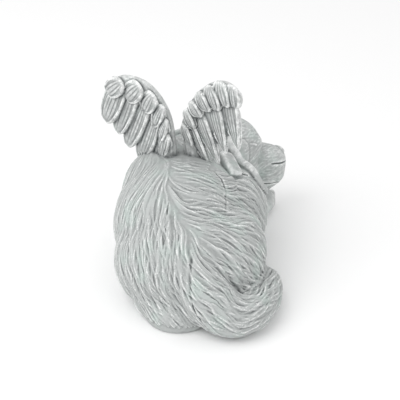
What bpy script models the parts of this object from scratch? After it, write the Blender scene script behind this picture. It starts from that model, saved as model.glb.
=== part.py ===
"""Pet memorial statue: a long-haired puppy with two upright wings, asleep on its belly.

The statue is one casting of stone-like material on a flat underside. It faces -Y, its right side
is at -X, and the ground is at Z = 0. Its head and its tail both turn round to its right side.
"""

import math

import bmesh
import bpy
import numpy as np
from mathutils import Euler, Matrix, Vector
from mathutils.bvhtree import BVHTree

# The figure is laid out on a grid of 258 units from its tail to its front paws, one unit to the
# millimetre at this length. Every place, thickness and lock below is given in those units.
FIGURE_LENGTH = 0.258
LAYOUT_LENGTH = 258.0
UNIT = FIGURE_LENGTH / LAYOUT_LENGTH

# Fineness of the casting's surface, and the most triangles that it keeps
BLEND_GRAIN = 2.6
BLEND_STEPS = 14
CARVING_GRAIN = 1.5
FACE_LIMIT = 9600

# Masses of the body: centre and radii
BODY_MASSES = {
    "trunk": ((10, 34, 50), (59, 64, 60)),
    "left flank": ((32, 12, 64), (34, 46, 44)),
    "rump": ((-1, 78, 38), (56, 46, 50)),
    "chest": ((8, -14, 52), (52, 48, 54)),
    "left haunch": ((28, 70, 36), (34, 44, 40)),
    "seat": ((4, 94, 8), (32, 38, 24)),
    "left hock": ((22, 98, 14), (19, 22, 20)),
    "right haunch": ((-34, 64, 40), (32, 48, 40)),
    "right shoulder": ((-37, 2, 46), (24, 40, 42)),
    "withers": ((14, -12, 84), (26, 34, 26)),
}

# Tubes of the body, as (x, y, z, radius)
NECK = [(12, -20, 78, 30), (0, -42, 76, 30), (-14, -60, 72, 26)]
THROAT = [(0, -30, 44, 30), (-16, -58, 40, 26), (-32, -70, 34, 18)]
RIGHT_FORELEG = [(-38, -10, 18, 18), (-42, -50, 12, 14), (-50, -82, 10, 12)]
LEFT_FORELEG = [(14, -30, 18, 18), (6, -70, 12, 14), (-6, -98, 10, 12)]
TAIL = [(-4, 88, 62, 20), (-12, 104, 50, 21), (-23, 116, 32, 21), (-42, 122, 17, 19),
        (-58, 111, 15, 17), (-67, 86, 14, 15), (-68, 62, 13, 12), (-63, 45, 10, 6)]

# Feet: centres of the front paws, right then left, and of the hind foot under the tail
PAWS = [(-51, -84, 10), (-8, -98, 10)]
PAW_RADII = (13, 15, 11)
TOE_SPREAD = 7
TOE_REACH = 12
TOE_RADII = (4, 8, 6)
HIND_FOOT = ((3, 116, 4), (25, 14, 9))

# The head, turned to the dog's right and drooping. Its own places are (f, s, u): f forward along
# the muzzle, s to the head's right side, u upward. A paired form is given for the right side.
HEAD_CENTRE = (-16, -60, 77)
HEAD_TURN = 40
HEAD_DROOP = 15
FACE_ASIDE = 1
MUZZLE_ASIDE = 3
HEAD_MASSES = {
    "skull": ((3, 0, 2), (32, 28, 29)),
    "dewlap": ((18, 0, -40), (24, 16, 15)),
    "jaw": ((43, 4, -31), (22, 14, 12)),
}
PAIRED_HEAD_MASSES = {
    "cheek": ((12, 13, -17), (20, 15, 17)),
    "brow": ((19, 11, 11), (12, 10, 9)),
}
MUZZLE = ((47, MUZZLE_ASIDE, -12), (22, 17, 17))
MUZZLE_PITCH = -7
MUZZLE_SQUARENESS = 0.75
LIP = ((51, 8, -19), (16, 11, 15))
LIP_SQUARENESS = 0.85
NOSE = ((62, MUZZLE_ASIDE, -5), (4, 9, 8))
NOSE_SQUARENESS = 0.8
EAR_ROOT = (-6, 23, 19)
EAR_TIP = (0, 31, -24)
EAR_HALF_WIDTH = 16
EAR_HALF_THICKNESS = 5
EAR_TAPER = 0.6
EYELID = ((13, 20, 14), (8, 3, 3))

# The collar, as (x, y, z, radius), and the flap of hide behind it on the right shoulder
COLLAR = [(22, -58, 32, 3), (36, -50, 48, 3), (42, -40, 68, 3), (38, -32, 88, 3),
          (26, -30, 104, 3), (6, -36, 108, 3), (-12, -36, 102, 4), (-21, -32, 98, 4.5),
          (-28, -26, 94, 4.5), (-36, -15, 89, 4), (-44, -5, 84, 3.5), (-51, 2, 77, 3),
          (-57, -3, 69, 2.6), (-56, -20, 56, 2.6), (-48, -36, 44, 2.6)]
COLLAR_SINK = 1.0
FLAP_CENTRE = (-27, 0, 91.5)
FLAP_RADII = (15, 7, 5.5)
FLAP_ALONG = (-11, 20, -6)
FLAP_FACING = (-0.5, 0.1, 0.8)
FLAP_SQUARENESS = 0.35

# The wings, drawn flat: u runs outward from the wing's root and v upward. An edge is (u, v,
# radius). A web, feather or covert is (its start, its tip, its half width).
FEATHER_HALF_THICKNESS = 3.0
FEATHER_STAGGER = 0.8
COVERT_HALF_THICKNESS = 3.4
COVERT_LIFT = 6.0
COVERT_TILT_SHARE = 0.8
TIP_LIFT_SHARE = 0.6
WEB_LIFT = -0.5
BLADE_BLUNTNESS = 0.8
LEFT_WING = {
    "root": (25, 14, 112), "outward": (0.93, -0.36, 0), "upward": (0.10, 0.18, 0.98),
    "tilt": 18, "taper": 0.15,
    "edge": [(2, -14, 9), (0, 10, 8), (0, 34, 7), (7, 52, 6.5), (18, 62, 6), (34, 64, 5),
             (48, 56, 4)],
    "web": ((0, 2), (46, 52), 19),
    "feathers": [((38, 62), (63, 13), 13), ((26, 58), (52, 4), 12), ((15, 50), (43, -8), 12),
                 ((6, 38), (31, -19), 12), ((0, 20), (16, -24), 11)],
    "coverts": [((33, 67), (52, 49), 9), ((15, 68), (33, 48), 10), ((3, 62), (16, 40), 9),
                ((-5, 52), (8, 26), 6), ((-7, 38), (5, 10), 5), ((-6, 22), (4, -6), 5)],
}
RIGHT_WING = {
    "root": (8, 6, 112), "outward": (-0.90, 0.43, 0), "upward": (-0.05, 0.20, 0.98),
    "tilt": 12, "taper": 0.7,
    "edge": [(6, -16, 9), (4, 4, 8), (3, 22, 7), (10, 40, 6.5), (20, 56, 6), (32, 68, 5.5),
             (44, 73, 5), (54, 70, 4)],
    "web": ((4, 8), (52, 58), 18),
    "feathers": [((46, 66), (52, 12), 13), ((30, 58), (39, 4), 12), ((14, 44), (31, -9), 11),
                 ((4, 32), (22, -16), 8), ((1, 18), (9, -6), 5)],
    "coverts": [((55, 81), (54, 58), 9), ((43, 82), (45, 56), 9), ((32, 75), (36, 50), 8),
                ((21, 66), (27, 46), 7), ((12, 54), (18, 38), 6), ((5, 44), (10, 24), 5),
                ((1, 28), (6, 4), 5)],
}

# Carved locks of the coat. Width and rise are greatest near the middle of a lock, and the shares
# say how much of them its root and its tip have.
LOCK_SPACING = 11.0
LOCK_LENGTH = 46.0
LOCK_LENGTH_SPREAD = 0.3
LOCK_HALF_WIDTH = 5.2
LOCK_RISE = 2.2
LOCK_ROOT_WIDTH_SHARE = 0.35
LOCK_TIP_WIDTH_SHARE = 0.22
LOCK_ROOT_RISE_SHARE = 0.4
LOCK_STEPS = 10
LOCK_LOOSENESS = 0.4
LOCK_STRAY_DEGREES = 3.6
LOCK_LEAST_STEPS = 3
WAVE_DEGREES = 16.0
WAVE_TURNS = 5.0
WAVE_DRIFT = (0.055, 0.06, 0.045)
CARVING_SEED = 7

# Guide hairs: a place on the body, and the way the hair lies there. It parts along the spine,
# falls straight down on the left and sweeps round the right flank.
GUIDE_HAIRS = [
    ((36, 52, 102), (0.3, 0.8, -0.3)), ((46, 64, 88), (0.3, 0.6, -0.6)),
    ((60, 60, 66), (0.1, 0.5, -0.9)), ((60, -20, 60), (0.1, 0.5, -0.9)),
    ((54, 94, 46), (-0.2, 0.4, -0.9)), ((36, 114, 36), (-0.2, 0.2, -0.9)),
    ((24, 118, 14), (-0.9, 0.1, -0.4)), ((18, 84, 88), (-0.1, 0.8, -0.5)),
    ((10, 118, 56), (-0.1, 0.3, -1.0)), ((-2, 110, 74), (-0.2, 0.6, -0.9)),
    ((-4, 52, 106), (-1.0, -0.1, 0.0)), ((-8, 74, 94), (-1.0, -0.3, 0.0)),
    ((-20, 86, 84), (-1.0, -0.4, -0.1)), ((-34, 30, 90), (-0.7, -0.7, 0.0)),
    ((-46, 66, 76), (-0.8, -0.5, -0.2)), ((-56, 46, 62), (-0.3, -0.4, -0.8)),
    ((-36, 96, 72), (-0.9, 0.0, -0.5)), ((-50, 94, 62), (-0.6, -0.1, -0.8)),
    ((-26, 116, 60), (-1.0, 0.1, -0.4)), ((-34, 130, 44), (-1.0, 0.1, -0.2)),
    ((-52, 2, 76), (-0.4, 0.1, -0.8)),
]
GUIDE_NEARNESS = 5.0
TAIL_HAIR_START = 14
TAIL_HAIR_DEPTH = 2.5

# Where the coat ends: the smooth saddle behind the wings, the neck, the front and the ground
SADDLE_CENTRE = (14, 16, 112)
SADDLE_RADIUS = 34
CHEST_LINE = -38
THROAT_LINE = -18
THROAT_HEIGHT = 60
NECK_SIDE = -12
NECK_HEIGHT = 66
NECK_BACK = 47.4
NECK_BACK_SLOPE = 0.9
COAT_LOWEST = 7


def clear_scene():
    for thing in list(bpy.data.objects):
        bpy.data.objects.remove(thing, do_unlink=True)


def cast_stone():
    """Light grey cast stone, matt."""
    material = bpy.data.materials.new("cast_stone")
    material.use_nodes = True
    shader = material.node_tree.nodes["Principled BSDF"]
    shader.inputs["Base Color"].default_value = (0.52, 0.53, 0.52, 1.0)
    shader.inputs["Roughness"].default_value = 0.85
    shader.inputs["Metallic"].default_value = 0.0
    return material


def unit_ball():
    """A ball of radius 1, which every rounded mass is shaped from."""
    form = bmesh.new()
    bmesh.ops.create_uvsphere(form, u_segments=40, v_segments=28, radius=1.0)
    mesh = bpy.data.meshes.new("ball")
    form.to_mesh(mesh)
    form.free()
    return mesh


class Clay:
    """Overlapping shapes that are to be joined in one skin."""

    ball_mesh = None

    def __init__(self):
        self.form = bmesh.new()
        if Clay.ball_mesh is None:
            Clay.ball_mesh = unit_ball()

    def shaped_ball(self, shape):
        """Add a unit ball, each of its points moved to where shape puts it."""
        self.form.from_mesh(Clay.ball_mesh)
        self.form.verts.ensure_lookup_table()
        for vert in self.form.verts[-len(Clay.ball_mesh.vertices):]:
            vert.co = shape(vert.co)

    def laid_ball(self, place, radii, squareness=1.0):
        """Add an ellipsoid in its place, or a soft block where squareness is under 1."""
        def shape(point):
            square = [math.copysign(abs(share) ** squareness, share) for share in point]
            return place @ Vector([share * radius for share, radius in zip(square, radii)])
        self.shaped_ball(shape)

    def ball(self, centre, radii, turn=(0, 0, 0), squareness=1.0):
        """Add an ellipsoid or a soft block, turned by degrees about X, Y and Z."""
        axes = Euler([math.radians(angle) for angle in turn]).to_matrix().to_4x4()
        self.laid_ball(Matrix.Translation(centre) @ axes, radii, squareness)

    def blade(self, low, high, across, half_width, half_thickness, taper=0.0):
        """Add a flat blade from low to high, narrowed toward high by the taper."""
        along = high - low
        half_length = along.length / 2
        along.normalize()
        across = (across - across.dot(along) * along).normalized()
        face = along.cross(across)
        axes = Matrix((along * half_length, across * half_width, face * half_thickness))
        lay = Matrix.Translation((low + high) / 2) @ axes.transposed().to_4x4()

        def shape(point):
            breadth = math.copysign(abs(point.x) ** BLADE_BLUNTNESS, point.x)
            return lay @ Vector((point.z, breadth * (1 - taper * (1 + point.z) / 2), point.y))

        self.shaped_ball(shape)

    def tubes(self, paths, sides=3):
        """Add round tubes, each a list of (point, radius), as one bevelled curve."""
        curve = bpy.data.curves.new("tubes", "CURVE")
        curve.dimensions = "3D"
        curve.bevel_depth = 1.0
        curve.bevel_resolution = sides
        curve.use_fill_caps = True
        for path in paths:
            spline = curve.splines.new("POLY")
            spline.points.add(len(path) - 1)
            for knot, (point, radius) in zip(spline.points, path):
                knot.co = (*point, 1.0)
                knot.radius = radius
        thing = bpy.data.objects.new("tubes", curve)
        bpy.context.collection.objects.link(thing)
        graph = bpy.context.evaluated_depsgraph_get()
        mesh = bpy.data.meshes.new_from_object(thing.evaluated_get(graph))
        self.form.from_mesh(mesh)
        bpy.data.objects.remove(thing)
        bpy.data.meshes.remove(mesh)

    def fused(self, grain, rounds):
        """One closed skin round all the shapes, smoothed so that their joints blend."""
        mesh = bpy.data.meshes.new("skin")
        self.form.to_mesh(mesh)
        self.form.free()
        thing = bpy.data.objects.new("skin", mesh)
        bpy.context.collection.objects.link(thing)
        skin = thing.modifiers.new("skin", "REMESH")
        skin.mode = "VOXEL"
        skin.voxel_size = grain
        blend = thing.modifiers.new("blend", "SMOOTH")
        blend.factor = 0.5
        blend.iterations = rounds
        graph = bpy.context.evaluated_depsgraph_get()
        result = bpy.data.meshes.new_from_object(thing.evaluated_get(graph))
        bpy.data.objects.remove(thing)
        bpy.data.meshes.remove(mesh)
        return result


def smooth_path(points, steps):
    """Points with a radius, spread along a Catmull-Rom curve through the given (x, y, z, radius)."""
    knots = np.array(points, float)
    knots = np.vstack([2 * knots[0] - knots[1], knots, 2 * knots[-1] - knots[-2]])
    path = []
    for start in range(1, len(knots) - 2):
        before, here, there, after = knots[start - 1:start + 3]
        for step in range(steps):
            t = step / steps
            path.append(0.5 * (2 * here + (there - before) * t
                               + (2 * before - 5 * here + 4 * there - after) * t ** 2
                               + (3 * here - before - 3 * there + after) * t ** 3))
    path.append(knots[-2])
    return [(tuple(point[:3]), max(point[3], 0.3)) for point in path]


class Head:
    """Puts forms in place by the head's own directions."""

    def __init__(self, clay):
        self.clay = clay
        turn = (0, math.radians(-HEAD_DROOP), math.radians(HEAD_TURN))
        self.axes = Euler(turn).to_matrix()

    def place(self, f, s, u):
        return Vector(HEAD_CENTRE) + self.axes @ Vector((-f, s, u))

    def ball(self, where, radii, pitch=0, roll=0, squareness=1.0):
        turn = (roll, pitch - HEAD_DROOP, HEAD_TURN)
        self.clay.ball(self.place(*where), radii, turn, squareness)

    def pair(self, where, radii, aside, pitch=0, roll=0, squareness=1.0):
        """Add a form on each side of the head's middle, which lies aside of its centre."""
        f, s, u = where
        for side in (-1, 1):
            self.ball((f, s * side + aside, u), radii, pitch, roll * side, squareness)


def body_clay():
    """Trunk, legs, neck, head and tail, before they are blended."""
    clay = Clay()
    for centre, radii in BODY_MASSES.values():
        clay.ball(centre, radii)
    head = Head(clay)
    for where, radii in HEAD_MASSES.values():
        head.ball(where, radii)
    for where, radii in PAIRED_HEAD_MASSES.values():
        head.pair(where, radii, FACE_ASIDE)
    head.ball(*MUZZLE, pitch=MUZZLE_PITCH, squareness=MUZZLE_SQUARENESS)
    head.pair(*LIP, MUZZLE_ASIDE, squareness=LIP_SQUARENESS)
    for paw in PAWS:
        clay.ball(paw, PAW_RADII)
    clay.ball(*HIND_FOOT)
    clay.tubes([smooth_path(route, 6) for route in (NECK, THROAT, RIGHT_FORELEG, LEFT_FORELEG, TAIL)],
               sides=6)
    return clay


def add_wing(clay, wing):
    """One wing: a thick front edge, a web, long feathers, and coverts over their roots."""
    root = Vector(wing["root"])
    out = Vector(wing["outward"]).normalized()
    up = Vector(wing["upward"])
    up = (up - up.dot(out) * out).normalized()
    back = out.cross(up)
    if back.y < 0:
        back.negate()

    def place(u, v, lift=0.0):
        return root + out * u + up * v + back * lift

    def feather(start, tip, half_width, half_thickness, lift, tilt, taper=0.0):
        """A feather with one edge raised by the tilt."""
        low = place(*start, lift)
        high = place(*tip, lift * TIP_LIFT_SHARE)
        along = (high - low).normalized()
        across = Matrix.Rotation(math.radians(tilt), 3, along) @ back.cross(along)
        clay.blade(low, high, across, half_width, half_thickness, taper)

    edge = [(*place(u, v), radius) for u, v, radius in wing["edge"]]
    clay.tubes([smooth_path(edge, 6)], sides=4)
    feather(*wing["web"], FEATHER_HALF_THICKNESS, WEB_LIFT, 0)
    for number, drawn in enumerate(wing["feathers"]):
        feather(*drawn, FEATHER_HALF_THICKNESS, FEATHER_STAGGER * number, wing["tilt"],
                wing["taper"])
    for drawn in wing["coverts"]:
        feather(*drawn, COVERT_HALF_THICKNESS, COVERT_LIFT, COVERT_TILT_SHARE * wing["tilt"])


def add_small_forms(clay, skin):
    """Ears, eyelids, nose, toes, the collar laid on the skin, and the flap behind it."""
    head = Head(clay)
    head.ball(*NOSE, squareness=NOSE_SQUARENESS)
    for side in (-1, 1):
        root, tip = [head.place(f, s * side, u) for f, s, u in (EAR_ROOT, EAR_TIP)]
        clay.blade(root, tip, head.axes @ Vector((1, 0, 0)), EAR_HALF_WIDTH, EAR_HALF_THICKNESS,
                   EAR_TAPER)
    head.pair(*EYELID, FACE_ASIDE)
    for paw in PAWS:
        for spread in (-TOE_SPREAD, 0, TOE_SPREAD):
            clay.ball((paw[0] + spread, paw[1] - TOE_REACH, paw[2] - 1), TOE_RADII)
    ring = []
    for place, radius in smooth_path(COLLAR, 6):
        spot, normal, face, gap = skin.find_nearest(Vector(place))
        ring.append((tuple(spot + normal * (radius - COLLAR_SINK)), radius))
    clay.tubes([ring], sides=4)
    along = Vector(FLAP_ALONG).normalized()
    facing = Vector(FLAP_FACING)
    facing = (facing - facing.dot(along) * along).normalized()
    axes = Matrix((along, facing.cross(along), facing)).transposed().to_4x4()
    clay.laid_ball(Matrix.Translation(FLAP_CENTRE) @ axes, FLAP_RADII, FLAP_SQUARENESS)


class Coat:
    """The lie of the hair over the blended body, and the locks that follow it."""

    def __init__(self, mesh):
        self.mesh = mesh
        bare = bmesh.new()
        bare.from_mesh(mesh)
        self.skin = BVHTree.FromBMesh(bare)
        bare.free()
        self.chance = np.random.default_rng(CARVING_SEED)
        self.places = np.array([place for place, way in GUIDE_HAIRS], float)
        self.ways = np.array([Vector(way).normalized() for place, way in GUIDE_HAIRS])
        self.tail = np.array([point for point, radius in smooth_path(TAIL, 6)])
        self.tail_radii = np.array([radius for point, radius in smooth_path(TAIL, 6)])

    def way(self, point, normal):
        """The way the hair lies at a point of the skin, along the skin."""
        distance = np.linalg.norm(self.places - np.array(point), axis=1)
        share = 1.0 / (distance + GUIDE_NEARNESS) ** 3
        lie = Vector((self.ways * share[:, None]).sum(axis=0) / share.sum())
        gap = np.linalg.norm(self.tail - np.array(point), axis=1) - self.tail_radii
        number = int(np.argmin(gap))
        if gap[number] < TAIL_HAIR_DEPTH and TAIL_HAIR_START <= number < len(self.tail) - 1:
            lie = Vector(self.tail[number + 1] - self.tail[number - 1])
        lie = lie - lie.dot(normal) * normal
        return lie.normalized()

    def covers(self, point):
        """Whether hair grows there: not on the head, neck, paws, saddle or beneath."""
        x, y, z = point
        saddle = (Vector(point) - Vector(SADDLE_CENTRE)).length < SADDLE_RADIUS
        front = y < CHEST_LINE or (y < THROAT_LINE and x < 0 and z > THROAT_HEIGHT)
        neck = x < NECK_SIDE and z > NECK_HEIGHT and y < NECK_BACK + NECK_BACK_SLOPE * x
        return not (saddle or front or neck) and z > COAT_LOWEST

    def roots(self):
        """Places over the coat at least the spacing of the locks apart."""
        chosen = []
        for number in self.chance.permutation(len(self.mesh.vertices)):
            point = np.array(self.mesh.vertices[int(number)].co)
            if not self.covers(point):
                continue
            if chosen and np.min(np.linalg.norm(np.array(chosen) - point, axis=1)) < LOCK_SPACING:
                continue
            chosen.append(point)
        return chosen

    def lock(self, root):
        """One lock along the skin, sunk in it so that only its rise stands proud."""
        phase = float(np.dot(WAVE_DRIFT, root)) + self.chance.normal(0, LOCK_LOOSENESS)
        reach = LOCK_LENGTH * self.chance.uniform(1 - LOCK_LENGTH_SPREAD, 1 + LOCK_LENGTH_SPREAD)
        stray = self.chance.normal(0, LOCK_STRAY_DEGREES)
        point = Vector(root)
        path = []
        for step in range(LOCK_STEPS + 1):
            share = step / LOCK_STEPS
            place, normal, face, gap = self.skin.find_nearest(point)
            if not self.covers(place):
                break
            swell = math.sin(math.pi * min(share * 1.4, 1.0) / 2)
            width = LOCK_ROOT_WIDTH_SHARE + (1 - LOCK_ROOT_WIDTH_SHARE) * swell
            if share > 0.5:
                width *= max(2 - 2 * share, 0.0) ** 0.5
            radius = LOCK_HALF_WIDTH * max(width, LOCK_TIP_WIDTH_SHARE)
            crown = math.sin(math.pi * share ** 0.8)
            rise = LOCK_RISE * (LOCK_ROOT_RISE_SHARE + (1 - LOCK_ROOT_RISE_SHARE) * crown)
            path.append((tuple(place - normal * (radius - rise)), radius))
            angle = WAVE_DEGREES * math.sin(phase + share * WAVE_TURNS) + stray
            swing = Matrix.Rotation(math.radians(angle), 3, normal)
            point = place + swing @ self.way(place, normal) * (reach / LOCK_STEPS)
        return path

    def locks(self):
        paths = [self.lock(root) for root in self.roots()]
        return [path for path in paths if len(path) > LOCK_LEAST_STEPS]


def cut_flat(mesh):
    """The casting with few faces, cut off flat at the ground and closed there."""
    mesh.calc_loop_triangles()
    thing = bpy.data.objects.new("carving", mesh)
    bpy.context.collection.objects.link(thing)
    fewer = thing.modifiers.new("fewer", "DECIMATE")
    fewer.ratio = FACE_LIMIT / len(mesh.loop_triangles)
    graph = bpy.context.evaluated_depsgraph_get()
    light = bpy.data.meshes.new_from_object(thing.evaluated_get(graph))
    bpy.data.objects.remove(thing)
    body = bmesh.new()
    body.from_mesh(light)
    bmesh.ops.bisect_plane(body, geom=body.verts[:] + body.edges[:] + body.faces[:], dist=0.02,
                           plane_co=(0, 0, 0), plane_no=(0, 0, 1), clear_inner=True)
    rim = [edge for edge in body.edges if edge.is_boundary]
    bmesh.ops.triangle_fill(body, edges=rim, use_beauty=True, normal=(0, 0, -1))
    bmesh.ops.triangulate(body, faces=body.faces)
    bmesh.ops.recalc_face_normals(body, faces=body.faces)
    body.to_mesh(light)
    body.free()
    return light


def stand_at_origin(mesh):
    """Move the casting so that the middle of its footprint's box is over the origin."""
    places = np.array([vert.co for vert in mesh.vertices])
    middle = (places.min(axis=0) + places.max(axis=0)) / 2
    mesh.transform(Matrix.Translation((-middle[0], -middle[1], 0)))


def main():
    clear_scene()
    collection = bpy.data.collections.new("pet_memorial_statue")
    bpy.context.scene.collection.children.link(collection)
    blended = body_clay().fused(BLEND_GRAIN, BLEND_STEPS)
    coat = Coat(blended)
    clay = Clay()
    add_wing(clay, LEFT_WING)
    add_wing(clay, RIGHT_WING)
    add_small_forms(clay, coat.skin)
    clay.tubes(coat.locks(), sides=2)
    clay.form.from_mesh(blended)
    mesh = cut_flat(clay.fused(CARVING_GRAIN, 1))
    mesh.name = "winged_dog"
    stand_at_origin(mesh)
    mesh.transform(Matrix.Scale(UNIT, 4))
    statue = bpy.data.objects.new("winged_dog", mesh)
    collection.objects.link(statue)
    mesh.materials.append(cast_stone())


main()
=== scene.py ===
import itertools
import math

import bmesh
import bpy
import numpy as np
from mathutils import Euler, Matrix, Vector
from mathutils.bvhtree import BVHTree


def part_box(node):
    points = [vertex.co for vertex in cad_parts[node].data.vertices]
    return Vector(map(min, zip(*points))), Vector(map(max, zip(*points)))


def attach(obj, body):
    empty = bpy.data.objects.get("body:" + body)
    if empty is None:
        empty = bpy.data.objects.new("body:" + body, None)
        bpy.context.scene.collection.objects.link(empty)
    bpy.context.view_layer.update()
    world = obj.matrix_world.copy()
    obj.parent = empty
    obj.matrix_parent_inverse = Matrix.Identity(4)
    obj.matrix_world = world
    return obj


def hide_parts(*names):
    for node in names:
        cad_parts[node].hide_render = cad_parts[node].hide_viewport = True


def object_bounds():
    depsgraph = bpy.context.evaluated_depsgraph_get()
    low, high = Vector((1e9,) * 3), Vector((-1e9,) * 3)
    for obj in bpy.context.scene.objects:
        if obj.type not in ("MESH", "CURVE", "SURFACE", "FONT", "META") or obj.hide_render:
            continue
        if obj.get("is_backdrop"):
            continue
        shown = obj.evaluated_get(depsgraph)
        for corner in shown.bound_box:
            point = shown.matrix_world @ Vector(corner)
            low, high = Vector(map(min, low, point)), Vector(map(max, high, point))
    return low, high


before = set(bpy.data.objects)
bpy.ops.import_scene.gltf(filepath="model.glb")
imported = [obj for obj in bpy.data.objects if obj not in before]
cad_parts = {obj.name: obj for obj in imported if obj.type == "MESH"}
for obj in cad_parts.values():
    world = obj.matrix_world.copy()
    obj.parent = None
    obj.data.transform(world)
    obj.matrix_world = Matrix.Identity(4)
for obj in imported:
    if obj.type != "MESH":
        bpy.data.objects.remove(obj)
cad_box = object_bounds()

# The puppy's trunk and haunches
# Cast stone, poured in one mould with the rest of the figure, so every form below is only shaped
# here and joined to its neighbours later. The layout is in millimetres, tail at +Y.
ball_form = bmesh.new()
bmesh.ops.create_uvsphere(ball_form, u_segments=40, v_segments=28, radius=1.0)
ball_mesh = bpy.data.meshes.new("ball")
ball_form.to_mesh(ball_mesh)
ball_form.free()


def shaped_ball(body, shape):
    """Add a unit ball to body, each of its points moved to where shape puts it."""
    body.from_mesh(ball_mesh)
    body.verts.ensure_lookup_table()
    for vert in body.verts[-len(ball_mesh.vertices):]:
        vert.co = shape(vert.co)


def laid_ball(body, lay, radii, squareness):
    """Add an ellipsoid where the matrix lay puts it, a soft block where squareness is under 1."""
    def shape(point):
        square = [math.copysign(abs(share) ** squareness, share) for share in point]
        return lay @ Vector([share * radius for share, radius in zip(square, radii)])

    shaped_ball(body, shape)


def add_ball(body, centre, radii, turn=(0, 0, 0), squareness=1.0):
    """Add an ellipsoid or soft block turned by degrees."""
    angles = [math.radians(angle) for angle in turn]
    lay = Matrix.Translation(centre) @ Euler(angles).to_matrix().to_4x4()
    laid_ball(body, lay, radii, squareness)


form = bmesh.new()
add_ball(form, (10, 34, 50), (59, 64, 60))
add_ball(form, (32, 12, 64), (34, 46, 44))
add_ball(form, (-1, 78, 38), (56, 46, 50))
add_ball(form, (8, -14, 52), (52, 48, 54))
add_ball(form, (28, 70, 36), (34, 44, 40))
add_ball(form, (4, 94, 8), (32, 38, 24))
add_ball(form, (22, 98, 14), (19, 22, 20))
add_ball(form, (-34, 64, 40), (32, 48, 40))
add_ball(form, (-37, 2, 46), (24, 40, 42))
add_ball(form, (14, -12, 84), (26, 34, 26))

# The neck, the head and its muzzle
# Modelled in the same casting, turned to the dog's right with the chin down on the foreleg. f runs
# forward along the muzzle, s to the head's right side, u upward.
HEAD_CENTRE = Vector((-16, -60, 77))
HEAD_TURN = 40
HEAD_DROOP = 15
HEAD_AXES = Euler((0, math.radians(-HEAD_DROOP), math.radians(HEAD_TURN))).to_matrix()
FACE_ASIDE = 1
MUZZLE_ASIDE = 3
ROUTE_STEPS = 6
THINNEST = 0.3


def in_head(f, s, u):
    return HEAD_CENTRE + HEAD_AXES @ Vector((-f, s, u))


def head_ball(body, where, radii, pitch=0, squareness=1.0):
    add_ball(body, in_head(*where), radii, (0, pitch - HEAD_DROOP, HEAD_TURN), squareness)


def add_tubes(body, paths, roundness):
    """Add round tubes, each a list of (point, radius), as one bevelled curve made into a mesh."""
    curve = bpy.data.curves.new("tubes", "CURVE")
    curve.dimensions = "3D"
    curve.bevel_depth = 1.0
    curve.bevel_resolution = roundness
    curve.use_fill_caps = True
    for path in paths:
        spline = curve.splines.new("POLY")
        spline.points.add(len(path) - 1)
        for knot, (point, radius) in zip(spline.points, path):
            knot.co = (*point, 1.0)
            knot.radius = radius
    thing = bpy.data.objects.new("tubes", curve)
    bpy.context.collection.objects.link(thing)
    graph = bpy.context.evaluated_depsgraph_get()
    mesh = bpy.data.meshes.new_from_object(thing.evaluated_get(graph))
    body.from_mesh(mesh)
    bpy.data.objects.remove(thing)
    bpy.data.meshes.remove(mesh)


def smooth_path(points, steps):
    """Points with a radius, spread along a Catmull-Rom curve through the given (x, y, z, radius)."""
    knots = np.array(points, float)
    knots = np.vstack([2 * knots[0] - knots[1], knots, 2 * knots[-1] - knots[-2]])
    path = []
    for start in range(1, len(knots) - 2):
        before, here, there, after = knots[start - 1:start + 3]
        for step in range(steps):
            t = step / steps
            path.append(0.5 * (2 * here + (there - before) * t
                               + (2 * before - 5 * here + 4 * there - after) * t ** 2
                               + (3 * here - before - 3 * there + after) * t ** 3))
    path.append(knots[-2])
    return [(tuple(point[:3]), max(point[3], THINNEST)) for point in path]


limbs = [
    smooth_path([(12, -20, 78, 30), (0, -42, 76, 30), (-14, -60, 72, 26)], ROUTE_STEPS),
    smooth_path([(0, -30, 44, 30), (-16, -58, 40, 26), (-32, -70, 34, 18)], ROUTE_STEPS),
]
head_ball(form, (3, 0, 2), (32, 28, 29))
head_ball(form, (18, 0, -40), (24, 16, 15))
head_ball(form, (47, MUZZLE_ASIDE, -12), (22, 17, 17), pitch=-7, squareness=0.75)
head_ball(form, (43, 4, -31), (22, 14, 12))
for side in (-1, 1):
    head_ball(form, (12, 13 * side + FACE_ASIDE, -17), (20, 15, 17))
    head_ball(form, (19, 11 * side + FACE_ASIDE, 11), (12, 10, 9))
    head_ball(form, (51, 8 * side + MUZZLE_ASIDE, -19), (16, 11, 15), squareness=0.85)

# Forelegs and the sole of the hind foot
# The right foreleg lies under the chin, the left one beside it. Toes are added further down.
PAWS = [(-51, -84, 10), (-8, -98, 10)]
PAW_RADII = (13, 15, 11)
RIGHT_FORELEG = [(-38, -10, 18, 18), (-42, -50, 12, 14), (-50, -82, 10, 12)]
LEFT_FORELEG = [(14, -30, 18, 18), (6, -70, 12, 14), (-6, -98, 10, 12)]
limbs.append(smooth_path(RIGHT_FORELEG, ROUTE_STEPS))
limbs.append(smooth_path(LEFT_FORELEG, ROUTE_STEPS))
for paw in PAWS:
    add_ball(form, paw, PAW_RADII)
add_ball(form, (3, 116, 4), (25, 14, 9))

# The tail
# Broad and feathered, laid round the right haunch, its tip turned forward.
TAIL_ROUTE = [(-4, 88, 62, 20), (-12, 104, 50, 21), (-23, 116, 32, 21), (-42, 122, 17, 19),
              (-58, 111, 15, 17), (-67, 86, 14, 15), (-68, 62, 13, 12), (-63, 45, 10, 6)]
limbs.append(smooth_path(TAIL_ROUTE, ROUTE_STEPS))
add_tubes(form, limbs, 6)

# The body's skin under the coat
# All the forms above run together here, as they do in the clay that the mould was taken from.
BODY_GRAIN = 2.6
BODY_BLEND = 14


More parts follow.
